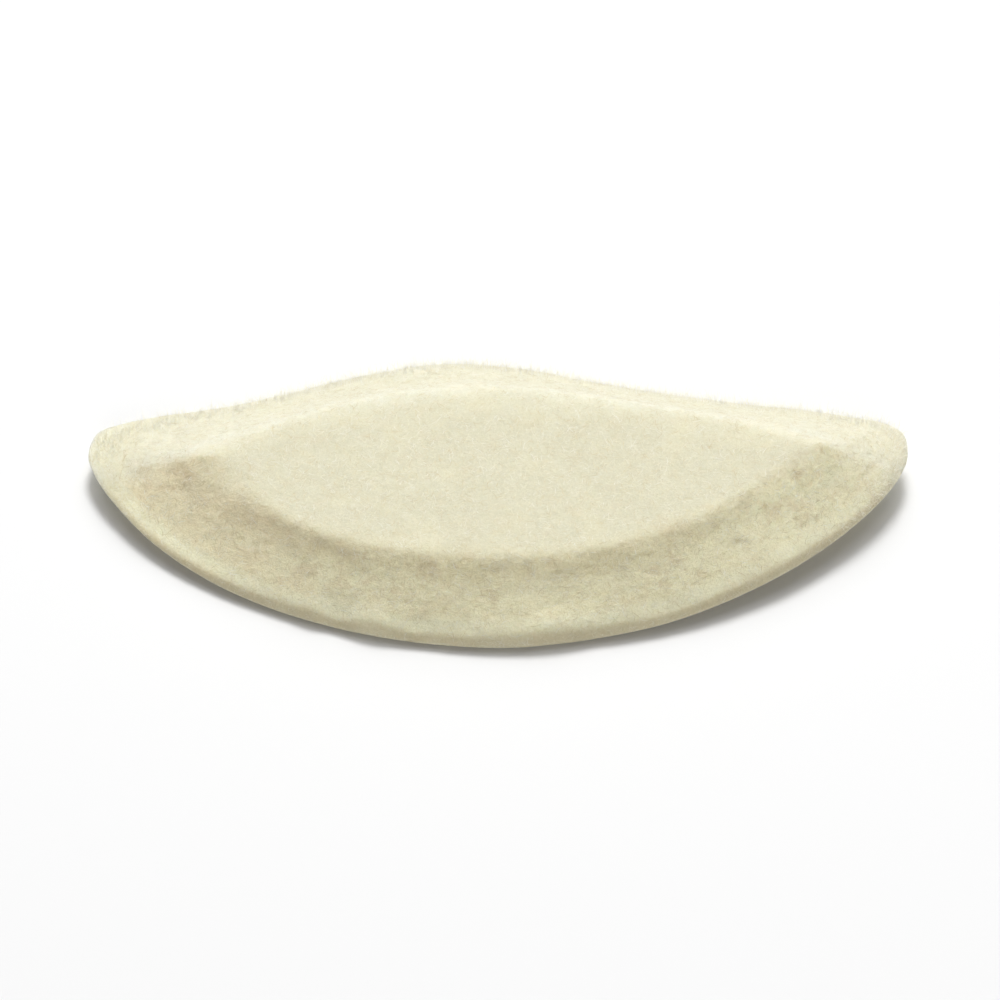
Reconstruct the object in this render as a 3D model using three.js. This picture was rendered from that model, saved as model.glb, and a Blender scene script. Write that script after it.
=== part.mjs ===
// Arch pad: one piece of thick wool felt, cut to a lens outline.
// A flat top, a sloping border all round it, a low edge wall and a plain
// underside. The middle of the underside lies flat and both tips curl up.
//
// Millimetres, +Z up. X runs along the pad from tip to tip, -Y is the side of
// the long outer curve, +Y the side of the shallow inner curve. The origin is
// the middle of the pad's box, on the surface it lies on.

import * as THREE from 'three';
import { mergeVertices } from 'three/addons/utils/BufferGeometryUtils.js';

// ---------------------------------------------------------------- sizes
const FELT_THICKNESS = 8.0;   // underside to flat top
const CHORD_Y = 3.357;        // the line between the tips, in front of which the outer curve lies
const STEPS_PER_RIB = 6;      // outline points between two ribs
const FOOT_TUCK = 0.80;       // how far the foot of the wall turns in under the pad

// Ribs across the pad, left tip to right tip. Y values are measured from the
// line between the tips. The edge columns give the outline that the knife cut,
// the top columns the outline of the flat top, wall is the height of the edge.
const RIBS = [
  { edgeX: -49.1, edgeFront:   2.20, edgeBack:  2.20, topX: -36.9, topFront:  -2.5,  topBack: -2.5,  wall: 0.9 },
  { edgeX: -48.1, edgeFront:  -1.00, edgeBack:  5.88, topX: -36.5, topFront:  -3.1,  topBack: -1.9,  wall: 0.9 },
  { edgeX: -45.4, edgeFront:  -5.25, edgeBack:  7.68, topX: -35.5, topFront:  -3.9,  topBack: -1.0,  wall: 1.1 },
  { edgeX: -40.6, edgeFront: -10.68, edgeBack:  9.45, topX: -33.2, topFront:  -5.6,  topBack:  0.6,  wall: 1.5 },
  { edgeX: -33.5, edgeFront: -15.92, edgeBack: 11.28, topX: -29.0, topFront:  -8.5,  topBack:  2.6,  wall: 2.2 },
  { edgeX: -25.0, edgeFront: -19.97, edgeBack: 13.90, topX: -22.8, topFront: -12.4,  topBack:  5.0,  wall: 2.8 },
  { edgeX: -16.0, edgeFront: -22.97, edgeBack: 16.62, topX: -15.2, topFront: -15.3,  topBack:  7.2,  wall: 3.0 },
  { edgeX:  -7.0, edgeFront: -24.62, edgeBack: 18.34, topX:  -7.0, topFront: -16.6,  topBack:  8.6,  wall: 3.1 },
  { edgeX:   2.0, edgeFront: -25.07, edgeBack: 17.70, topX:   2.0, topFront: -17.0,  topBack:  8.8,  wall: 3.1 },
  { edgeX:  11.0, edgeFront: -23.87, edgeBack: 15.49, topX:  11.0, topFront: -15.9,  topBack:  7.5,  wall: 3.1 },
  { edgeX:  20.0, edgeFront: -21.87, edgeBack: 12.97, topX:  19.5, topFront: -13.9,  topBack:  5.4,  wall: 3.1 },
  { edgeX:  28.5, edgeFront: -18.37, edgeBack: 10.87, topX:  27.0, topFront: -10.2,  topBack:  3.2,  wall: 3.0 },
  { edgeX:  36.0, edgeFront: -13.97, edgeBack:  9.32, topX:  33.3, topFront:  -6.2,  topBack:  1.4,  wall: 2.8 },
  { edgeX:  42.2, edgeFront:  -8.88, edgeBack:  7.85, topX:  37.6, topFront:  -3.3,  topBack:  0.0,  wall: 2.5 },
  { edgeX:  46.8, edgeFront:  -3.60, edgeBack:  6.49, topX:  39.6, topFront:  -2.1,  topBack: -0.7,  wall: 2.3 },
  { edgeX:  48.7, edgeFront:   0.00, edgeBack:  4.92, topX:  40.4, topFront:  -1.6,  topBack: -1.1,  wall: 2.2 },
  { edgeX:  49.1, edgeFront:   2.00, edgeBack:  2.00, topX:  40.7, topFront:  -1.35, topBack: -1.35, wall: 2.2 },
];

// The section from the foot of the wall to the rim of the flat top. inset is
// the share of the border's width, wall the share of the edge wall's height,
// rise the share of the height from the wall up to the flat top, wave the share
// of the front waves that reaches there. The border is slightly hollow: steep
// under the rim of the top, easier towards the edge.
const SECTION = [
  { inset: 0.045, wall: 0.070, rise: 0.000, wave: 0.04 },
  { inset: 0.014, wall: 0.150, rise: 0.000, wave: 0.10 },
  { inset: 0.000, wall: 0.270, rise: 0.000, wave: 0.20 },
  { inset: 0.010, wall: 0.400, rise: 0.000, wave: 0.36 },
  { inset: 0.026, wall: 0.530, rise: 0.000, wave: 0.56 },
  { inset: 0.048, wall: 0.640, rise: 0.000, wave: 0.76 },
  { inset: 0.078, wall: 0.735, rise: 0.001, wave: 0.92 },
  { inset: 0.118, wall: 0.820, rise: 0.006, wave: 1.00 },
  { inset: 0.175, wall: 0.900, rise: 0.024, wave: 0.84 },
  { inset: 0.250, wall: 0.965, rise: 0.066, wave: 0.52 },
  { inset: 0.350, wall: 1.000, rise: 0.148, wave: 0.20 },
  { inset: 0.480, wall: 1.000, rise: 0.290, wave: 0.03 },
  { inset: 0.620, wall: 1.000, rise: 0.455, wave: 0.00 },
  { inset: 0.760, wall: 1.000, rise: 0.650, wave: 0.00 },
  { inset: 0.885, wall: 1.000, rise: 0.845, wave: 0.00 },
  { inset: 0.955, wall: 1.000, rise: 0.950, wave: 0.00 },
  { inset: 1.035, wall: 1.000, rise: 1.000, wave: 0.00 },
];

// How each end curls up off the surface: it starts at from, softly over ease of
// its length, and is highest at the tip, to.
const CURLS = [
  { from: -23.0, to: -49.1, rise: 3.0, power: 1.60, ease: 0.08 },
  { from:   9.0, to:  49.1, rise: 3.4, power: 1.15, ease: 0.08 },
];

// Soft waves along the top of the front wall, where the cut wandered.
const FRONT_WAVES = [
  { x: -26.0, rise:  0.00 },
  { x: -22.3, rise:  0.28 },
  { x: -19.2, rise: -0.30 },
  { x: -15.0, rise:  0.30 },
  { x:  -9.3, rise: -0.38 },
  { x:  -4.5, rise: -0.25 },
  { x:   0.5, rise:  0.05 },
  { x:   6.5, rise:  0.45 },
  { x:  13.0, rise:  0.05 },
  { x:  20.0, rise: -0.32 },
  { x:  28.0, rise: -0.10 },
  { x:  34.0, rise:  0.00 },
];

// ---------------------------------------------------------------- helpers
const ramp = (t) => t * t * (3 - 2 * t);

// A smooth value between the rows of a table, flat outside it.
function between(rows, key, value, x) {
  if (x <= rows[0][key]) return rows[0][value];
  for (let i = 1; i < rows.length; i++) {
    if (x <= rows[i][key]) {
      const t = (x - rows[i - 1][key]) / (rows[i][key] - rows[i - 1][key]);
      return rows[i - 1][value] + (rows[i][value] - rows[i - 1][value]) * ramp(t);
    }
  }
  return rows[rows.length - 1][value];
}

// Height and steepness of the curled underside at x.
function curl(x) {
  let lift = 0;
  let steep = 0;
  for (const c of CURLS) {
    const t = (x - c.from) / (c.to - c.from);
    if (t <= 0) continue;
    const half = c.power / 2;
    const start = c.ease ** c.power;
    const scale = c.rise / ((1 + c.ease ** 2) ** half - start);
    lift += scale * ((t ** 2 + c.ease ** 2) ** half - start);
    steep += (scale * c.power * t * (t ** 2 + c.ease ** 2) ** (half - 1)) / (c.to - c.from);
  }
  return { lift, steep };
}

// A point of the flat pad, carried onto the curled one. The felt keeps its
// thickness square to the underside.
function bend(x, y, z) {
  const { lift, steep } = curl(x);
  const a = Math.atan(steep);
  return [x - z * Math.sin(a), y + CHORD_Y, lift + z * Math.cos(a)];
}

// A closed loop through the ribs: left tip, along the front, right tip, and
// back along the inner curve.
function loop(xKey, frontKey, backKey) {
  const last = RIBS.length - 1;
  const points = [];
  for (let i = 0; i <= last; i++) points.push(new THREE.Vector3(RIBS[i][xKey], RIBS[i][frontKey], 0));
  for (let i = last - 1; i > 0; i--) points.push(new THREE.Vector3(RIBS[i][xKey], RIBS[i][backKey], 0));
  const curve = new THREE.CatmullRomCurve3(points, true, 'centripetal');
  const count = points.length * STEPS_PER_RIB;
  return Array.from({ length: count }, (_, k) => curve.getPoint(k / count));
}

// The edge wall's height at each point of the outline.
function wallHeights(edge) {
  const last = RIBS.length - 1;
  const walls = RIBS.map((r) => r.wall);
  for (let i = last - 1; i > 0; i--) walls.push(RIBS[i].wall);
  return edge.map((p, k) => {
    const at = k / STEPS_PER_RIB;
    const i = Math.floor(at);
    return walls[i] + (walls[(i + 1) % walls.length] - walls[i]) * (at - i);
  });
}

// The waves' height at each point of the outline, none along the inner curve.
function waveHeights(edge) {
  const frontPoints = (RIBS.length - 1) * STEPS_PER_RIB;
  return edge.map((p, k) => (k < frontPoints ? between(FRONT_WAVES, 'x', 'rise', p.x) : 0));
}

// ---------------------------------------------------------------- the pad
function feltPad() {
  const edge = loop('edgeX', 'edgeFront', 'edgeBack');
  const top = loop('topX', 'topFront', 'topBack');
  const wall = wallHeights(edge);
  const wave = waveHeights(edge);
  const n = edge.length;
  const positions = [];
  const faces = [];

  const addRing = (place) => {
    const start = positions.length / 3;
    for (let k = 0; k < n; k++) positions.push(...bend(...place(k)));
    return start;
  };
  const joinRings = (low, high) => {
    for (let k = 0; k < n; k++) {
      const m = (k + 1) % n;
      faces.push(low + k, low + m, high + m, low + k, high + m, high + k);
    }
  };
  // A rim closed towards the line halfway between its front and back: the
  // points of one side meet those of the other, so the cap is a fan of ribs.
  const closeRing = (ring, outline, z, facesUp) => {
    const mid = [];
    for (let k = 0; k < n; k++) {
      const j = (n - k) % n;
      if (k === 0 || 2 * k === n) mid.push(ring + k);
      else if (j < k) mid.push(mid[j]);
      else {
        mid.push(positions.length / 3);
        positions.push(...bend((outline[k].x + outline[j].x) / 2, (outline[k].y + outline[j].y) / 2, z));
      }
    }
    for (let k = 0; k < n; k++) {
      const m = (k + 1) % n;
      const a = ring + k, b = ring + m, c = mid[m], d = mid[k];
      const quad = [[a, b, c], [a, c, d]];
      for (const [p, q, r] of quad) {
        if (p === q || q === r || p === r) continue;
        if (facesUp) faces.push(p, q, r);
        else faces.push(p, r, q);
      }
    }
  };

  // foot of the wall, tucked in a little
  const foot = edge.map((p, k) => {
    const inward = top[k].clone().sub(p).normalize();
    return p.clone().addScaledVector(inward, FOOT_TUCK);
  });
  let ring = addRing((k) => [foot[k].x, foot[k].y, 0]);
  closeRing(ring, foot, 0, false);

  // wall and border
  let rim = null;
  for (const s of SECTION) {
    rim = edge.map((p, k) => p.clone().lerp(top[k], s.inset));
    const next = addRing((k) => [
      rim[k].x,
      rim[k].y,
      wall[k] * s.wall + (FELT_THICKNESS - wall[k]) * s.rise + wave[k] * s.wave,
    ]);
    joinRings(ring, next);
    ring = next;
  }
  closeRing(ring, rim, FELT_THICKNESS, true);

  let geometry = new THREE.BufferGeometry();
  geometry.setAttribute('position', new THREE.Float32BufferAttribute(positions, 3));
  geometry.setIndex(faces);
  geometry = mergeVertices(geometry, 1e-4);
  geometry.computeVertexNormals();
  return geometry;
}

const woolFelt = new THREE.MeshStandardMaterial({ color: 0xe5e1c6, roughness: 0.95, metalness: 0.0 });

const pad = new THREE.Mesh(feltPad(), woolFelt);
pad.name = 'felt_pad';

const archPad = new THREE.Group();
archPad.name = 'arch_pad';
archPad.add(pad);

export default archPad;
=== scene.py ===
"""Felt arch pad: the visual model, in metres, in the same frame as the CAD model."""
import math

import bpy
import numpy as np
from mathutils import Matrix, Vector
from mathutils.bvhtree import BVHTree


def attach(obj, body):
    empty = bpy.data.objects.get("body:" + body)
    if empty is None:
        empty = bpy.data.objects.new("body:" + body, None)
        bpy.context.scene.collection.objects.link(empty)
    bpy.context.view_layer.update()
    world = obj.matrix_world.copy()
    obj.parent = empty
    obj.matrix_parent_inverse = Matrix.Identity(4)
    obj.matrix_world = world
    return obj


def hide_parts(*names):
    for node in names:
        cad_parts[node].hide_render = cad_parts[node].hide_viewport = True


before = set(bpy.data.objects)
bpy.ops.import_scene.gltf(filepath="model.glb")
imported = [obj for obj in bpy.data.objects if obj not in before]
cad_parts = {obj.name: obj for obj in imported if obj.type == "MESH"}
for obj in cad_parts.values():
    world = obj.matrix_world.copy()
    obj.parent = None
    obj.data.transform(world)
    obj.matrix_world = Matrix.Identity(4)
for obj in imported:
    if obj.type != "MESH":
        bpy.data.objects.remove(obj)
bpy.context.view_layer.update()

MM = 0.001

# ---------------------------------------------------------------- camera
ELEVATION = math.radians(50.0)
DISTANCE = 0.650
FOCAL_PX = 817 / 98 * 650  # focal length in pixels of the 1000 px frame
AIM = Vector((0.00024, 0.002165, -0.0010))

cam_data = bpy.data.cameras.new("camera")
cam_data.sensor_width = 36.0
cam_data.lens = FOCAL_PX / 1000 * 36.0
cam_data.clip_start, cam_data.clip_end = 0.01, 20.0
camera = bpy.data.objects.new("camera", cam_data)
bpy.context.scene.collection.objects.link(camera)
look = Vector((0.0, math.cos(ELEVATION), -math.sin(ELEVATION)))
camera.location = AIM - look * DISTANCE
camera.rotation_euler = look.to_track_quat("-Z", "Y").to_euler()
bpy.context.scene.camera = camera

# ---------------------------------------------------------------- the pad's tables, in mm, as in the CAD source
FELT_THICKNESS = 8.0
CHORD_Y = 3.357
FOOT_TUCK = 0.8

# edge outline and plateau outline at each rib, and the height of the edge wall
# (edge_x, edge_front, edge_back, top_x, top_front, top_back, wall)
RIBS = np.array([
    (-49.1, 2.2, 2.2, -36.9, -2.5, -2.5, 0.9),
    (-48.1, -1.0, 5.88, -36.5, -3.1, -1.9, 0.9),
    (-45.4, -5.25, 7.68, -35.5, -3.9, -1.0, 1.1),
    (-40.6, -10.68, 9.45, -33.2, -5.6, 0.6, 1.5),
    (-33.5, -15.92, 11.28, -29.0, -8.5, 2.6, 2.2),
    (-25.0, -19.97, 13.9, -22.8, -12.4, 5.0, 2.8),
    (-16.0, -22.97, 16.62, -15.2, -15.3, 7.2, 3.0),
    (-7.0, -24.62, 18.34, -7.0, -16.6, 8.6, 3.1),
    (2.0, -25.07, 17.7, 2.0, -17.0, 8.8, 3.1),
    (11.0, -23.87, 15.49, 11.0, -15.9, 7.5, 3.1),
    (20.0, -21.87, 12.97, 19.5, -13.9, 5.4, 3.1),
    (28.5, -18.37, 10.87, 27.0, -10.2, 3.2, 3.0),
    (36.0, -13.97, 9.32, 33.3, -6.2, 1.4, 2.8),
    (42.2, -8.88, 7.85, 37.6, -3.3, 0.0, 2.5),
    (46.8, -3.6, 6.49, 39.6, -2.1, -0.7, 2.3),
    (48.7, 0.0, 4.92, 40.4, -1.6, -1.1, 2.2),
    (49.1, 2.0, 2.0, 40.7, -1.35, -1.35, 2.2),
])

# the border's section from the foot of the wall up to the plateau
# (inset, wall, rise, wave)
SECTION = np.array([
    (0.045, 0.07, 0.0, 0.04),
    (0.014, 0.15, 0.0, 0.1),
    (0.0, 0.27, 0.0, 0.2),
    (0.01, 0.4, 0.0, 0.36),
    (0.026, 0.53, 0.0, 0.56),
    (0.048, 0.64, 0.0, 0.76),
    (0.078, 0.735, 0.001, 0.92),
    (0.118, 0.82, 0.006, 1.0),
    (0.175, 0.9, 0.024, 0.84),
    (0.25, 0.965, 0.066, 0.52),
    (0.35, 1.0, 0.148, 0.2),
    (0.48, 1.0, 0.29, 0.03),
    (0.62, 1.0, 0.455, 0.0),
    (0.76, 1.0, 0.65, 0.0),
    (0.885, 1.0, 0.845, 0.0),
    (0.955, 1.0, 0.95, 0.0),
    (1.035, 1.0, 1.0, 0.0),
])

# the ends lift off the floor: (from_x, to_x, rise, power, ease)
CURLS = ((-23.0, -49.1, 3.0, 1.60, 0.08), (9.0, 49.1, 3.4, 1.15, 0.08))

# slow waves of the front rim: (x, rise)
FRONT_WAVES = np.array([
    (-26.0, 0.0), (-22.3, 0.28), (-19.2, -0.30), (-15.0, 0.30), (-9.3, -0.38), (-4.5, -0.25),
    (0.5, 0.05), (6.5, 0.45), (13.0, 0.05), (20.0, -0.32), (28.0, -0.10), (34.0, 0.0),
])

HALF_STEPS = 430     # points along the front, and again along the back
BORDER_RINGS = 50
PLATEAU_ROWS = 74
UNDER_ROWS = 16


# ---------------------------------------------------------------- helpers
def gradient_noise(seed):
    """A smooth 3-D noise over arrays of points, about -0.7 to 0.7."""
    rng = np.random.default_rng(seed)
    perm = rng.permutation(256)
    grads = rng.normal(size=(256, 3))
    grads /= np.linalg.norm(grads, axis=1)[:, None]

    def noise(points):
        cell = np.floor(points).astype(np.int64)
        f = points - cell
        u = f * f * f * (f * (f * 6 - 15) + 10)
        total = np.zeros(len(points))
        for dx in (0, 1):
            wx = u[:, 0] if dx else 1 - u[:, 0]
            hx = perm[(cell[:, 0] + dx) & 255]
            for dy in (0, 1):
                wy = u[:, 1] if dy else 1 - u[:, 1]
                hy = perm[(hx + cell[:, 1] + dy) & 255]
                for dz in (0, 1):
                    wz = u[:, 2] if dz else 1 - u[:, 2]
                    h = perm[(hy + cell[:, 2] + dz) & 255]
                    d = ((f - (dx, dy, dz)) * grads[h]).sum(1)
                    total += wx * wy * wz * d
        return total

    return noise


def smooth_loop(points, u):
    """A closed centripetal Catmull-Rom curve at u, counted in control points."""
    n = len(points)
    i = np.floor(u).astype(int)
    t = (u - i)[:, None]
    p0, p1, p2, p3 = (points[(i + k) % n] for k in (-1, 0, 1, 2))
    d0, d1, d2 = (np.sqrt(np.linalg.norm(b - a, axis=1))[:, None] for a, b in ((p0, p1), (p1, p2), (p2, p3)))
    d1 = np.where(d1 < 1e-4, 1.0, d1)
    d0 = np.where(d0 < 1e-4, d1, d0)
    d2 = np.where(d2 < 1e-4, d1, d2)
    t1 = ((p1 - p0) / d0 - (p2 - p0) / (d0 + d1) + (p2 - p1) / d1) * d1
    t2 = ((p2 - p1) / d1 - (p3 - p1) / (d1 + d2) + (p3 - p2) / d2) * d1
    return ((2 * t**3 - 3 * t**2 + 1) * p1 + (t**3 - 2 * t**2 + t) * t1
            + (-2 * t**3 + 3 * t**2) * p2 + (t**3 - t**2) * t2)


def monotone(xs, ys, x):
    """Smooth monotone interpolation through a table's column."""
    h, d = np.diff(xs), np.diff(ys) / np.diff(xs)
    m = np.zeros(len(xs))
    m[0], m[-1] = d[0], d[-1]
    for k in range(1, len(xs) - 1):
        if d[k - 1] * d[k] > 0:
            w1, w2 = 2 * h[k] + h[k - 1], h[k] + 2 * h[k - 1]
            m[k] = (w1 + w2) / (w1 / d[k - 1] + w2 / d[k])
    i = np.clip(np.searchsorted(xs, x, side="right") - 1, 0, len(xs) - 2)
    t = (x - xs[i]) / h[i]
    return ((2 * t**3 - 3 * t**2 + 1) * ys[i] + (t**3 - 2 * t**2 + t) * h[i] * m[i]
            + (-2 * t**3 + 3 * t**2) * ys[i + 1] + (t**3 - t**2) * h[i] * m[i + 1])


def curl(x):
    """How far the pad's underside stands off the floor at x, and its slope."""
    z, slope = np.zeros_like(x), np.zeros_like(x)
    for start, end, rise, power, ease in CURLS:
        t = np.clip((x - start) / (end - start), 0, None)
        scale = rise / ((1 + ease**2) ** (power / 2) - ease**power)
        z += scale * ((t**2 + ease**2) ** (power / 2) - ease**power)
        slope += scale * power * t * (t**2 + ease**2) ** (power / 2 - 1) / (end - start)
    return z, slope


def bend(x, y, z):
    """Lays the flat pad on its curled underside."""
    lift, slope = curl(x)
    a = np.arctan(slope)
    return np.stack([x - z * np.sin(a), y + CHORD_Y, lift + z * np.cos(a)], axis=-1)


def front_wave(x):
    xs, ys = FRONT_WAVES[:, 0], FRONT_WAVES[:, 1]
    i = np.clip(np.searchsorted(xs, x, side="right") - 1, 0, len(xs) - 2)
    t = np.clip((x - xs[i]) / (xs[i + 1] - xs[i]), 0, 1)
    return ys[i] + (ys[i + 1] - ys[i]) * t * t * (3 - 2 * t)


def smoothstep(a, b, x):
    t = np.clip((x - a) / (b - a), 0, 1)
    return t * t * (3 - 2 * t)


def mesh_object(name, verts, faces, smooth=True, slots=None):
    """A mesh from arrays of corners; faces are triangles or quads of one kind."""
    mesh = bpy.data.meshes.new(name)
    n, k = faces.shape
    mesh.vertices.add(len(verts))
    mesh.vertices.foreach_set("co", np.asarray(verts, np.float32).ravel())
    mesh.loops.add(n * k)
    mesh.loops.foreach_set("vertex_index", faces.astype(np.int32).ravel())
    mesh.polygons.add(n)
    mesh.polygons.foreach_set("loop_start", np.arange(0, n * k, k, dtype=np.int32))
    if slots is not None:
        mesh.polygons.foreach_set("material_index", slots.astype(np.int32))
    mesh.update(calc_edges=True)
    mesh.polygons.foreach_set("use_smooth", np.full(n, smooth))
    mesh.validate()
    mesh.update()
    obj = bpy.data.objects.new(name, mesh)
    bpy.context.scene.collection.objects.link(obj)
    return obj


def vertex_normals(verts, tris):
    a, b, c = (verts[tris[:, k]] for k in range(3))
    n = np.cross(b - a, c - a)
    out = np.zeros_like(verts)
    for k in range(3):
        np.add.at(out, tris[:, k], n)
    return out / np.maximum(np.linalg.norm(out, axis=1), 1e-12)[:, None]


# ---------------------------------------------------------------- the pad's surface
def control_loops():
    front = [(r[0], r[1], r[3], r[4], r[6]) for r in RIBS]
    back = [(r[0], r[2], r[3], r[5], r[6]) for r in RIBS[-2:0:-1]]
    return np.array(front + back)


def border_loops():
    """The edge and plateau outlines and the wall height, evenly spaced along front and back."""
    table = control_loops()
    ribs, n = len(RIBS), len(table)
    parts = []
    for start, end in ((0, ribs - 1), (ribs - 1, n)):
        fine = np.linspace(start, end, 4001)
        p = 0.62 * smooth_loop(table[:, 0:2], fine) + 0.38 * smooth_loop(table[:, 2:4], fine)
        length = np.concatenate([[0], np.cumsum(np.linalg.norm(np.diff(p, axis=0), axis=1))])
        parts.append(np.interp(np.arange(HALF_STEPS) / HALF_STEPS * length[-1], length, fine))
    u = np.concatenate(parts)
    edge = smooth_loop(table[:, 0:2], u)
    top = smooth_loop(table[:, 2:4], u)
    wall = np.interp(u, np.arange(n + 1), np.append(table[:, 4], table[0, 4]))
    return edge, top, wall


def pad_surface():
    """Corners, triangles, and for each corner: its place along the rim, across it, and its zone."""
    edge, top, wall = border_loops()
    n = len(edge)
    k = np.arange(n)
    is_front = k < HALF_STEPS
    wave = np.where(is_front, front_wave(edge[:, 0]), 0.0)

    rows = SECTION
    step = np.hypot(np.diff(rows[:, 0]) * 7.8, np.diff(rows[:, 1]) * 3.0 + np.diff(rows[:, 2]) * 4.9)
    at = np.concatenate([[0], np.cumsum(step)])
    q = np.linspace(0, at[-1], BORDER_RINGS)
    inset, share, rise, waves = (monotone(at, rows[:, c], q) for c in range(4))

    verts, along, across, zone = [], [], [], []
    middle = edge.mean(axis=0)
    inward = top - edge
    inward /= np.linalg.norm(inward, axis=1)[:, None]

    def add(points, s, w, z):
        verts.append(points)
        along.append(np.broadcast_to(s, len(points)))
        across.append(np.broadcast_to(w, len(points)))
        zone.append(np.broadcast_to(z, len(points)))

    s_all = np.where(is_front, k, 2 * HALF_STEPS - k) / HALF_STEPS * 110.0
    foot = edge + inward * FOOT_TUCK
    add(bend(foot[:, 0], foot[:, 1], 0.0 * wall), s_all, -0.4, 0.0)
    for j in range(BORDER_RINGS):
        p = edge + (top - edge) * inset[j]
        z = wall * share[j] + (FELT_THICKNESS - wall) * rise[j] + wave * waves[j]
        add(bend(p[:, 0], p[:, 1], z), s_all, q[j], (j + 1) / BORDER_RINGS)
    rings = BORDER_RINGS + 1

    tris = []

    def quads(a, b, c, d):
        tris.append(np.stack([a, b, c], 1))
        tris.append(np.stack([a, c, d], 1))

    for j in range(rings - 1):
        a, b = j * n + k, j * n + (k + 1) % n
        quads(a, b, b + n, a + n)

    def cap(ring, rows_between, flip):
        """Fills a ring with rows between each front point and its partner at the back."""
        base = ring * n
        loop = verts[ring]
        count = sum(len(v) for v in verts)
        m = np.arange(1, HALF_STEPS)
        front_pts, back_pts = loop[m], loop[n - m]
        t = (np.arange(1, rows_between) / rows_between)
        pts = front_pts[:, None, :] * (1 - t)[None, :, None] + back_pts[:, None, :] * t[None, :, None]
        add(pts.reshape(-1, 3), np.repeat(s_all[m], rows_between - 1),
            np.tile(at[-1] if not flip else -0.4, (HALF_STEPS - 1) * (rows_between - 1)), 1.0 if not flip else -1.0)

        def idx(i, r):
            """Corner on line i (an array), row r: the loop's own points at both ends."""
            if r == 0:
                return base + i
            if r == rows_between:
                return base + (n - i)
            return count + (i - 1) * (rows_between - 1) + (r - 1)

        i = np.arange(1, HALF_STEPS - 1)
        for r in range(rows_between):
            a, b, c, d = idx(i, r), idx(i + 1, r), idx(i + 1, r + 1), idx(i, r + 1)
            quads(*((d, c, b, a) if flip else (a, b, c, d)))
        for i0, tip in ((np.array([1]), base), (np.array([HALF_STEPS - 1]), base + HALF_STEPS)):
            for r in range(rows_between):
                a, b = idx(i0, r), idx(i0, r + 1)
                tri = (np.array([tip]), a, b) if (tip == base) != flip else (np.array([tip]), b, a)
                tris.append(np.stack(tri, 1))

    cap(rings - 1, PLATEAU_ROWS, False)
    cap(0, UNDER_ROWS, True)
    return (np.concatenate(verts), np.concatenate(tris), np.concatenate(along),
            np.concatenate(across), np.concatenate(zone), at[-1])


verts, tris, along, across, zone, border_width = pad_surface()
under = zone < 0
is_cap = zone >= 0.999


def soften(points, share, rounds):
    """Moves each corner's values towards its neighbours' middle, by its own share, again and again."""
    a = np.concatenate([tris[:, 0], tris[:, 1], tris[:, 2]])
    b = np.concatenate([tris[:, 1], tris[:, 2], tris[:, 0]])
    moving = share[a] > 0
    a, b = a[moving], b[moving]
    count = np.maximum(np.bincount(a, minlength=len(points)), 1)[:, None]
    for _ in range(rounds):
        mid = np.stack([np.bincount(a, points[b, c], minlength=len(points)) for c in range(points.shape[1])], 1) / count
        points = points + (mid - points) * share[:, None]
    return points


# the corners of the flat top are worn round, and its rim a little
corner_at = bend(np.array([-36.2, 40.0]), np.array([-2.5, -1.4]), np.array([7.8, 7.8]))
near_corner = np.max([1 - smoothstep(3.0, 13.0, np.linalg.norm(verts - c, axis=1)) for c in corner_at], axis=0)
on_top = smoothstep(3.2, 5.2, across) * (~under)
verts = soften(verts, 0.6 * on_top * near_corner, 200)
corner_far = np.min([np.linalg.norm(verts - c, axis=1) for c in corner_at], axis=0)
verts = soften(verts, 0.6 * on_top * (1 - smoothstep(2.0, 8.0, corner_far)), 900)
cap_edge = np.where(zone >= 0.999, 1.0, smoothstep(border_width - 1.6, border_width - 0.9, across) * (~under))
verts = soften(verts, 0.5 * cap_edge, 14)
normals = vertex_normals(verts, tris)

# the felt is never quite even: broad dents, lumps of the felting, and on the cut border streaks along the rim
broad, lumps, grain, streaks = (gradient_noise(s) for s in (11, 23, 37, 53))
on_border = (~under) & (~is_cap)
side = np.where(verts[:, 1] > CHORD_Y, 1.0, -1.0) * np.abs(np.sin(along / 110 * math.pi)) * 37
rim_xy = np.stack([along, across, side], 1)
slope_zone = smoothstep(3.4, 4.6, across) * (1 - smoothstep(border_width - 0.9, border_width - 0.1, across)) * on_border
wall_zone = (1 - smoothstep(0.7, 3.4, across)) * on_border
height = (0.10 * broad(verts / 9.0)
          + (0.06 + 0.03 * slope_zone) * lumps(verts / 2.6)
          + (0.045 + 0.03 * slope_zone) * grain(verts / 1.05)
          + (0.030 + 0.040 * slope_zone) * grain(verts / 0.52 + 17.3)
          + 0.05 * slope_zone * streaks(rim_xy / (3.6, 1.5, 6.0))
          + 0.05 * slope_zone * streaks(rim_xy / (1.4, 0.66, 3.0) + 31.7))
settle = smoothstep(0.0, 0.9, verts[:, 2] - curl(verts[:, 0])[0])
height = np.where(under, 0.0, height * settle)
verts = verts + normals * height[:, None]
verts[:, 2] = np.maximum(verts[:, 2], 0.0)

pad = mesh_object("pad_felt", verts * MM, tris)


def point_attribute(obj, name, values):
    attr = obj.data.attributes.new(name, "FLOAT_VECTOR", "POINT")
    attr.data.foreach_set("vector", np.asarray(values, np.float32).ravel())


point_attribute(pad, "rim_xy", rim_xy)
top_zone = np.where(is_cap, 1.0, smoothstep(border_width - 0.9, border_width - 0.1, across) * on_border)
# painted shade: under_rim_shade_zone marks the border just under the rim of the top, where shade falls
under_rim_shade_zone = smoothstep(border_width - 5.0, border_width - 1.6, across) * on_border * (1 - top_zone)
n_loop = 2 * HALF_STEPS
back_rim = verts[BORDER_RINGS * n_loop + HALF_STEPS: (BORDER_RINGS + 1) * n_loop]
order = np.argsort(back_rim[:, 0])
to_back = np.interp(verts[:, 0], back_rim[order, 0], back_rim[order, 1]) - verts[:, 1]
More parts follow.
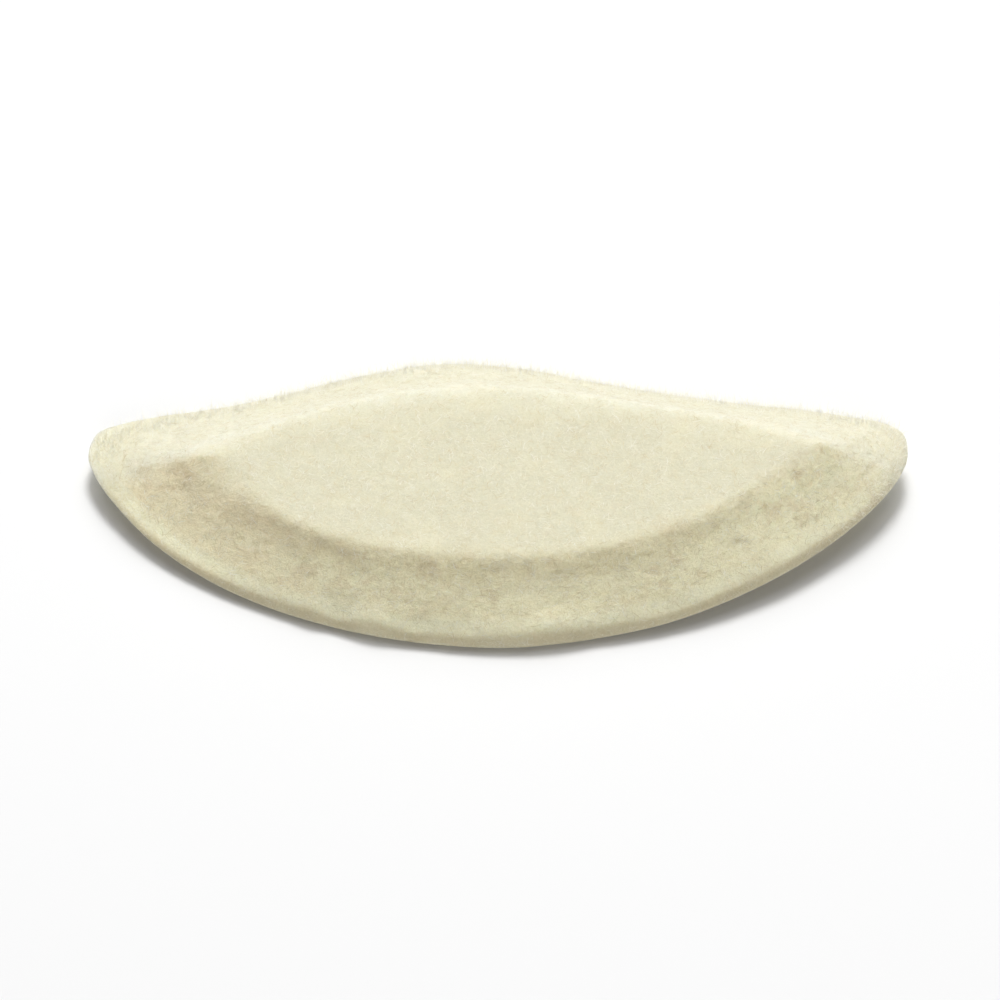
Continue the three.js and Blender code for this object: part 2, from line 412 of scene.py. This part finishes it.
# the cut border's colours follow the softened shape at the corners
worn = (1 - smoothstep(6.0, 10.0, corner_far)) * (1 - smoothstep(0.84, 0.96, normals[:, 2])) * (~under)
top_zone = top_zone * (1 - worn)
cut = np.maximum(slope_zone, worn * smoothstep(3.4, 4.6, across))
front_slope = cut * (1 - smoothstep(0.35, 0.98, normals[:, 2] + 0.9 * normals[:, 1]))
painted = soften(np.stack([front_slope, top_zone, cut], 1), 0.5 * (~under), 60)
front_slope, top_zone, cut = soften(painted, 0.6 * near_corner * (~under), 140).T
# painted light: back_lit_zone, paler towards the back rim, where the back light falls
back_lit_zone = (1 - smoothstep(-0.6, 5.4, to_back)) * (1 - front_slope)
crest_zone = np.exp(-((to_back + 0.1) / 1.2) ** 2) * (1 - front_slope)
# the ridge's paler tone is wear and a painted highlight on the rounded edge
ridge_zone = smoothstep(1.6, 2.5, across) * (1 - smoothstep(3.2, 4.4, across)) * on_border
# right_lit_zone places the painted light at the right end; left_zone places the left end's tone and the painted shade
# under its corner
right_lit_zone, left_zone = smoothstep(14.0, 40.0, verts[:, 0]), smoothstep(16.0, 36.0, -verts[:, 0])
point_attribute(pad, "zones", np.stack([cut, wall_zone, top_zone], 1))
point_attribute(pad, "shades", np.stack([under_rim_shade_zone, back_lit_zone, ridge_zone], 1))
point_attribute(pad, "ends", np.stack([right_lit_zone, left_zone, crest_zone], 1))


# ---------------------------------------------------------------- materials
def srgb(r, g, b):
    return tuple(((c / 255 + 0.055) / 1.055) ** 2.4 if c > 10 else c / 255 / 12.92 for c in (r, g, b)) + (1.0,)


class Nodes:
    """A short way to lay out a material's nodes."""

    def __init__(self, name):
        self.material = bpy.data.materials.new(name)
        self.material.use_nodes = True
        self.tree = self.material.node_tree
        self.tree.nodes.clear()
        self.shader = self.add("ShaderNodeBsdfPrincipled")
        out = self.add("ShaderNodeOutputMaterial")
        self.tree.links.new(self.shader.outputs[0], out.inputs[0])

    def add(self, kind, **props):
        node = self.tree.nodes.new(kind)
        for key, value in props.items():
            setattr(node, key, value)
        return node

    def put(self, value, socket):
        if isinstance(value, bpy.types.NodeSocket):
            self.tree.links.new(value, socket)
        else:
            socket.default_value = value

    def math(self, op, a, b=0.0, clamp=False):
        node = self.add("ShaderNodeMath", operation=op, use_clamp=clamp)
        self.put(a, node.inputs[0])
        self.put(b, node.inputs[1])
        return node.outputs[0]

    def mix(self, factor, a, b, blend="MIX"):
        node = self.add("ShaderNodeMix", data_type="RGBA", blend_type=blend)
        self.put(factor, node.inputs[0])
        self.put(a, node.inputs[6])
        self.put(b, node.inputs[7])
        return node.outputs[2]

    def ramp(self, value, low, high, to_low=0.0, to_high=1.0):
        node = self.add("ShaderNodeMapRange", clamp=True)
        for socket, v in zip(node.inputs, (value, low, high, to_low, to_high)):
            self.put(v, socket)
        return node.outputs[0]

    def noise(self, vector, scale, detail=2.0, rough=0.5, distortion=0.0):
        node = self.add("ShaderNodeTexNoise")
        self.put(vector, node.inputs["Vector"])
        for key, v in (("Scale", scale), ("Detail", detail), ("Roughness", rough), ("Distortion", distortion)):
            node.inputs[key].default_value = v
        return node.outputs[0]

    def scaled(self, vector, scale):
        node = self.add("ShaderNodeMapping")
        self.put(vector, node.inputs["Vector"])
        node.inputs["Scale"].default_value = scale
        return node.outputs[0]


PLATEAU = srgb(227, 223, 197)
# painted light: BACK_LIT makes the top and back border paler towards the back rim, where the back light and sheen fall
BACK_LIT = srgb(237, 233, 206)     # towards the back rim of the top and the back border
CREST = srgb(244, 243, 226)    # the line of the back rim itself
# the cut border's warmer wool tone, also painted lighter than the top as painted light against the shade on its slope
BORDER_TONE_AND_LIGHT = srgb(244, 237, 202)
# painted shade: a little darker and warmer just under the rim of the top
UNDER_RIM_SHADE = srgb(242, 233, 195)
# painted light: the right end and the hollow under its corner are painted lighter, as light from the right falls there
RIGHT_END_LIT = srgb(251, 242, 207)
RIGHT_HOLLOW_LIT = srgb(255, 246, 208)  # under the right corner of the top
LEFT_END = srgb(247, 235, 199)
# painted shade: darker in the hollow under the left corner of the top
LEFT_HOLLOW_SHADE = srgb(222, 207, 170)   # under the left corner of the top
RIDGE_WEAR_AND_HIGHLIGHT = srgb(251, 245, 213)    # the worn upper edge of the wall, with a painted highlight of its rounded edge
# painted shade: the wall is painted darker than the border, for the shade that falls on it
WALL_SHADE = srgb(221, 211, 178)


def felt_material():
    m = Nodes("wool_felt_surface")
    place = m.add("ShaderNodeTexCoord").outputs["Object"]
    mm = m.scaled(place, (1000.0, 1000.0, 1000.0))
    rim = m.add("ShaderNodeAttribute", attribute_name="rim_xy").outputs["Vector"]
    zones = m.add("ShaderNodeSeparateXYZ")
    m.put(m.add("ShaderNodeAttribute", attribute_name="zones").outputs["Vector"], zones.inputs[0])
    slope, wall, top = zones.outputs
    shades = m.add("ShaderNodeSeparateXYZ")
    m.put(m.add("ShaderNodeAttribute", attribute_name="shades").outputs["Vector"], shades.inputs[0])
    under_rim_shade, back, ridge = shades.outputs
    ends = m.add("ShaderNodeSeparateXYZ")
    m.put(m.add("ShaderNodeAttribute", attribute_name="ends").outputs["Vector"], ends.inputs[0])
    right, left, crest = ends.outputs

    clouds = m.noise(mm, 0.16, 2.0)
    mottle = m.noise(mm, 0.75, 3.0, 0.6)
    patches = m.noise(mm, 0.38, 3.0, 0.6, 0.5)
    fine = m.noise(mm, 3.2, 4.0, 0.72, 0.6)
    streak = m.noise(m.scaled(rim, (1.0, 1.9, 0.5)), 1.0, 4.0, 0.7, 1.4)

    # painted shade under the rim of the top, over the border's colour
    border = m.mix(under_rim_shade, BORDER_TONE_AND_LIGHT, UNDER_RIM_SHADE)
    # painted light at the right end and under its corner
    border = m.mix(right, border, RIGHT_END_LIT)
    border = m.mix(m.math("MULTIPLY", m.math("MULTIPLY", right, under_rim_shade), 0.8), border, RIGHT_HOLLOW_LIT)
    border = m.mix(left, border, LEFT_END)
    # painted shade under the left corner
    border = m.mix(m.math("MULTIPLY", m.math("MULTIPLY", left, under_rim_shade), 0.75), border, LEFT_HOLLOW_SHADE)
    # painted shade on the wall
    border = m.mix(wall, border, WALL_SHADE)
    # wear and a painted highlight on the ridge
    border = m.mix(m.math("MULTIPLY", ridge, 0.85), border, RIDGE_WEAR_AND_HIGHLIGHT)
    colour = m.mix(top, border, PLATEAU)
    # painted light: paler towards the back rim
    colour = m.mix(back, colour, BACK_LIT)
    colour = m.mix(m.math("MULTIPLY", crest, 0.42), colour, CREST)
    # beige and paler patches from the blend of the wool, stronger on the cut border
    loose = m.math("ADD", 0.18, m.math("MULTIPLY", m.math("MULTIPLY", slope, m.math("SUBTRACT", 1.0, back)), 0.30))
    colour = m.mix(m.math("MULTIPLY", m.ramp(patches, 0.52, 0.72), loose), colour, srgb(214, 196, 158))
    colour = m.mix(m.math("MULTIPLY", m.ramp(clouds, 0.50, 0.70), 0.35), colour, srgb(240, 234, 202))
    shade = m.math("ADD", m.ramp(mottle, 0.25, 0.75, -0.035, 0.035), m.ramp(fine, 0.25, 0.75, -0.08, 0.08))
    shade = m.math("ADD", shade, m.ramp(m.noise(mm, 6.5, 2.0, 0.7, 1.5), 0.25, 0.75, -0.07, 0.07))
    streaky = m.math("MULTIPLY", m.ramp(streak, 0.25, 0.75, -0.06, 0.06), slope)
    shade = m.math("ADD", m.math("ADD", shade, streaky), 1.0)
    tone = m.add("ShaderNodeHueSaturation")
    m.put(colour, tone.inputs["Color"])
    m.put(shade, tone.inputs["Value"])
    m.put(m.math("SUBTRACT", 2.0, shade), tone.inputs["Saturation"])
    m.put(tone.outputs[0], m.shader.inputs["Base Color"])

    rough = m.ramp(fine, 0.2, 0.8, 0.88, 1.0)
    m.put(rough, m.shader.inputs["Roughness"])

    relief = m.math("ADD", m.math("MULTIPLY", fine, 0.5), m.math("MULTIPLY", m.noise(mm, 1.5, 3.0, 0.6, 0.4), 0.4))
    relief = m.math("ADD", relief, m.math("MULTIPLY", m.noise(mm, 6.5, 3.0, 0.7, 1.0), 0.30))
    relief = m.math("ADD", relief, m.math("MULTIPLY", m.math("MULTIPLY", streak, slope), 0.40))
    bump = m.add("ShaderNodeBump")
    bump.inputs["Strength"].default_value = 0.9
    bump.inputs["Distance"].default_value = 0.00032
    m.put(relief, bump.inputs["Height"])
    m.put(bump.outputs[0], m.shader.inputs["Normal"])

    m.shader.inputs["Specular IOR Level"].default_value = 0.12
    m.shader.inputs["Subsurface Weight"].default_value = 0.7
    m.shader.inputs["Subsurface Scale"].default_value = 0.0013
    m.shader.inputs["Subsurface Radius"].default_value = (1.0, 0.9, 0.75)
    m.shader.inputs["Sheen Weight"].default_value = 0.5
    m.shader.inputs["Sheen Roughness"].default_value = 0.5
    m.shader.inputs["Sheen Tint"].default_value = srgb(250, 246, 226)
    return m.material


def fibre_material(name, colour, sheen=0.25):
    m = Nodes(name)
    m.shader.inputs["Base Color"].default_value = colour
    m.shader.inputs["Roughness"].default_value = 0.75
    m.shader.inputs["Specular IOR Level"].default_value = 0.25
    m.shader.inputs["Sheen Weight"].default_value = sheen
    m.shader.inputs["Sheen Roughness"].default_value = 0.5
    m.shader.inputs["Sheen Tint"].default_value = srgb(252, 248, 232)
    return m.material


pad.data.materials.append(felt_material())

# tones of single wool fibres, from the palest to the deepest
TONES = [
    fibre_material("wool_fibre_pale", srgb(253, 251, 238), 0.2),
    fibre_material("wool_fibre_light", srgb(247, 243, 218), 0.2),
    fibre_material("wool_fibre_cream", srgb(236, 230, 198), 0.2),
    fibre_material("wool_fibre_warm", srgb(224, 212, 172), 0.2),
    fibre_material("wool_fibre_deep", srgb(213, 199, 159), 0.2),
]


# ---------------------------------------------------------------- fibres
bvh = BVHTree.FromPolygons([Vector(v) for v in verts], [tuple(t) for t in tris.tolist()])


def nearest(points):
    """The felt's surface below each point, and its normal there."""
    spots, norms = np.empty_like(points), np.empty_like(points)
    for i, p in enumerate(points):
        co, no, _, _ = bvh.find_nearest(p)
        spots[i], norms[i] = co, no
    return spots, norms


def unit(v):
    return v / np.maximum(np.linalg.norm(v, axis=1), 1e-9)[:, None]


def scatter(rng, count, weight):
    """Random places on the felt: position, normal, zone values and the rim's direction."""
    a, b, c = (verts[tris[:, k]] for k in range(3))
    area = np.linalg.norm(np.cross(b - a, c - a), axis=1) / 2
    w = area * weight
    pick = rng.choice(len(tris), size=count, p=w / w.sum())
    r1, r2 = np.sqrt(rng.random(count)), rng.random(count)
    bary = np.stack([1 - r1, r1 * (1 - r2), r1 * r2], 1)[:, :, None]
    corner = tris[pick]
    pos = (verts[corner] * bary).sum(1)
    nor = unit((fine_normals[corner] * bary).sum(1))
    rim = unit((rim_dir[corner] * bary).sum(1))
    return pick, pos, nor, rim


def tubes(name, lines, radius, tone, facing, up=None):
    """Closed three-sided fibres along lines (fibre, point, xyz), thinned to a point at the far end. With up, a
    direction for all or for each point, they are low and wide, with their flat side away from it. They are shaded with
    the direction facing, one for each fibre, so that thin wool takes the felt's light."""
    count, points, _ = lines.shape
    d = np.gradient(lines, axis=1)
    d /= np.maximum(np.linalg.norm(d, axis=2), 1e-9)[:, :, None]
    ref = np.where(np.abs(d[:, :1, 2:3]) > 0.9, (1.0, 0.0, 0.0), (0.0, 0.0, 1.0)) if up is None else up
    a = np.cross(d, ref)
    a /= np.maximum(np.linalg.norm(a, axis=2), 1e-9)[:, :, None]
    b = np.cross(a, d)
    rings = points - 1
    taper = np.linspace(1.0, 0.55, rings)
    spots = ((1.0, 0.0), (-0.5, 0.866), (-0.5, -0.866)) if up is None else ((1.0, -0.25), (0.0, 0.5), (-1.0, -0.25))
    ring = []
    for across_share, up_share in spots:
        off = (a[:, :rings] * across_share + b[:, :rings] * up_share) * (radius[:, None] * taper)[:, :, None]
        ring.append(lines[:, :rings] + off)
    body = np.stack(ring, 2).reshape(count, rings * 3, 3)
    all_verts = np.concatenate([body, lines[:, -1:, :]], axis=1)
    per = rings * 3 + 1
    faces = []
    for r in range(rings - 1):
        for s in range(3):
            p, q = r * 3 + s, r * 3 + (s + 1) % 3
            faces += [(p, q + 3, q), (p, p + 3, q + 3)]
    last = (rings - 1) * 3
    for s in range(3):
        faces.append((last + s, per - 1, last + (s + 1) % 3))
    faces.append((0, 1, 2))
    faces = np.array(faces)
    all_faces = (faces[None] + (np.arange(count) * per)[:, None, None]).reshape(-1, 3)
    obj = mesh_object(name, all_verts.reshape(-1, 3) * MM, all_faces, slots=np.repeat(tone, len(faces)))
    for material in TONES:
        obj.data.materials.append(material)
    obj.data.normals_split_custom_set_from_vertices(np.repeat(unit(facing), per, axis=0).tolist())
    return obj


fine_normals = vertex_normals(verts, tris)
# the direction along the rim: from the curves' own order on the border, along x on the flats
rim_dir = np.tile((1.0, 0.0, 0.0), (len(verts), 1))
ring_part = verts[: (BORDER_RINGS + 1) * n_loop].reshape(BORDER_RINGS + 1, n_loop, 3)
rim_dir[: (BORDER_RINGS + 1) * n_loop] = unit((np.roll(ring_part, -1, 1) - np.roll(ring_part, 1, 1)).reshape(-1, 3))

tri_zone = lambda values: values[tris].mean(axis=1)
tri_slope, tri_wall = tri_zone(slope_zone), tri_zone(wall_zone)
tri_under = under[tris].any(axis=1)
tri_cap = tri_zone(is_cap.astype(float))
tri_mid = verts[tris].mean(axis=1)
clump = 0.75 + 0.9 * gradient_noise(71)(tri_mid / 1.4) + 0.5 * gradient_noise(72)(tri_mid / 4.0)
clump = np.clip(clump, 0.15, 2.0)

TONE_SHARES = (0.22, 0.26, 0.22, 0.18, 0.12)    # on the top
SLOPE_SHARES = (0.22, 0.20, 0.14, 0.20, 0.24)   # on the cut border


def lying(name, seed, count, weight, length, rise, radius, along_rim):
    """Fibres that lie on the felt in shallow arcs."""
    rng = np.random.default_rng(seed)
    pick, pos, nor, rim = scatter(rng, count, weight)
    size = length[0] + (length[1] - length[0]) * rng.random(count) ** 1.6
    angle = rng.random(count) * 2 * math.pi
    narrow = rng.random(count) < along_rim * tri_slope[pick]
    angle = np.where(narrow, rng.normal(0, 0.38, count) + math.pi * (rng.random(count) < 0.5), angle)
    side_dir = unit(np.cross(nor, rim))
    go = rim * np.cos(angle)[:, None] + side_dir * np.sin(angle)[:, None]
    turn = rng.normal(0, 0.55, count)
    cross = unit(np.cross(nor, go))
    line, up = np.empty((count, 4, 3)), np.empty((count, 4, 3))
    heights = rise[0] + (rise[1] - rise[0]) * rng.random((count, 4)) ** 2
    heights[:, 0] = -0.01
    for j, t in enumerate((0.0, 0.36, 0.7, 1.0)):
        p = pos + go * (size * t)[:, None] + cross * (size * turn * (t * t - t))[:, None]
        spot, no = nearest(p) if j else (pos, nor)
        line[:, j] = spot + no * heights[:, j, None]
        up[:, j] = no
    line[:, :, 2] = np.maximum(line[:, :, 2], 0.03)
    width = radius[0] + (radius[1] - radius[0]) * rng.random(count)
    tone = np.where(rng.random(count) < tri_slope[pick], rng.choice(5, size=count, p=SLOPE_SHARES),
                    rng.choice(5, size=count, p=TONE_SHARES))
    return tubes(name, line, width, tone, nor, up)


def standing(name, seed, count, weight, length, lean, radius):
    """Loose fibre ends that stand off the felt."""
    rng = np.random.default_rng(seed)
    pick, pos, nor, rim = scatter(rng, count, weight)
    size = length[0] + (length[1] - length[0]) * rng.random(count) ** 1.5
    angle = rng.random(count) * 2 * math.pi
    side_dir = unit(np.cross(nor, rim))
    go = rim * np.cos(angle)[:, None] + side_dir * np.sin(angle)[:, None]
    tilt = lean[0] + (lean[1] - lean[0]) * rng.random(count)
    first = nor * np.cos(tilt)[:, None] + go * np.sin(tilt)[:, None]
    bend_to = unit(rng.normal(size=(count, 3)) + nor * 0.3)
    line = np.empty((count, 3, 3))
    line[:, 0] = pos - nor * 0.04
    line[:, 1] = pos + first * (size * 0.5)[:, None]
    line[:, 2] = line[:, 1] + unit(first + bend_to * 0.7) * (size * 0.5)[:, None]
    line[:, :, 2] = np.maximum(line[:, :, 2], 0.03)
    width = radius[0] + (radius[1] - radius[0]) * rng.random(count)
    tone = rng.choice(5, size=count, p=(0.55, 0.30, 0.12, 0.03, 0.0))
    return tubes(name, line, width, tone, 0.3 * nor + (0.05, 0.5, 0.85), np.array((0.0, -0.15, 1.0)))


lit = np.where(tri_under, 0.0, 1.0)
tri_across = tri_zone(across)
tri_back = smoothstep(-1.0, 5.0, tri_mid[:, 1] - CHORD_Y)
tri_tip = smoothstep(38.0, 46.0, np.abs(tri_mid[:, 0]))
edge_band = smoothstep(1.0, 1.8, tri_across) * (1 - 0.85 * smoothstep(3.4, 4.4, tri_across)) * (1 - smoothstep(4.6, 6.5, tri_across))
lying_weight = lit * (1 - 0.1 * tri_wall) * clump
loose_weight = lit * (1 - 0.85 * tri_wall) * (0.6 + 0.4 * clump) * (0.5 + 0.8 * tri_back)
halo_weight = lit * edge_band * np.maximum(tri_back, tri_tip) * (0.7 + 0.3 * clump)

pieces = [
    pad,
    lying("pad_fibres_a", 101, 11500, lying_weight, (0.4, 1.7), (0.0, 0.03), (0.014, 0.032), 0.30),
    lying("pad_fibres_b", 102, 11500, lying_weight, (0.3, 1.2), (0.0, 0.03), (0.012, 0.026), 0.20),
    standing("pad_fuzz_a", 103, 13000, loose_weight, (0.12, 0.5), (0.7, 1.45), (0.006, 0.010)),
    standing("pad_fuzz_b", 104, 7000, halo_weight, (0.5, 1.9), (0.0, 0.8), (0.008, 0.013)),
    standing("pad_fuzz_c", 105, 5200, halo_weight, (0.35, 1.1), (0.0, 1.0), (0.008, 0.013)),
]
for piece in pieces:
    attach(piece, "root")
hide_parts("felt_pad")

# ---------------------------------------------------------------- floor, light and background
floor_mat = Nodes("studio_floor")
floor_mat.shader.inputs["Base Color"].default_value = (0.83, 0.83, 0.83, 1.0)
floor_mat.shader.inputs["Roughness"].default_value = 0.9
floor_mat.shader.inputs["Specular IOR Level"].default_value = 0.1
half = 3.0
floor = mesh_object("floor", np.array([(-half, -half, 0), (half, -half, 0), (half, half, 0), (-half, half, 0)]) - (0, 0, 0.00003),
                    np.array([(0, 1, 2, 3)]), smooth=False)
floor.data.materials.append(floor_mat.material)


def area_light(name, direction, distance, size, power, colour=(1.0, 1.0, 1.0)):
    data = bpy.data.lights.new(name, "AREA")
    data.shape = "DISK"
    data.size = size
    data.energy = power
    data.color = colour
    obj = bpy.data.objects.new(name, data)
    bpy.context.scene.collection.objects.link(obj)
    direction = Vector(direction).normalized()
    obj.location = direction * distance
    obj.rotation_euler = (-direction).to_track_quat("-Z", "Y").to_euler()
    return obj


key_tilt = math.radians(33.0)
area_light("key_light", (0.05, math.sin(key_tilt), math.cos(key_tilt)), 1.6, 0.50, 18.5)
area_light("soft_light", (0.05, math.sin(key_tilt), math.cos(key_tilt)), 1.6, 2.0, 18.6)
fill_tilt = math.radians(70.0)
area_light("fill_light", (0.05, -math.sin(fill_tilt), math.cos(fill_tilt)), 1.8, 1.3, 8.0)

world = bpy.data.worlds.new("studio")
world.use_nodes = True
world.node_tree.nodes["Background"].inputs[0].default_value = (1.0, 1.0, 1.0, 1.0)
world.node_tree.nodes["Background"].inputs[1].default_value = 0.12
bpy.context.scene.world = world
bpy.context.scene.view_settings.view_transform = "Standard"
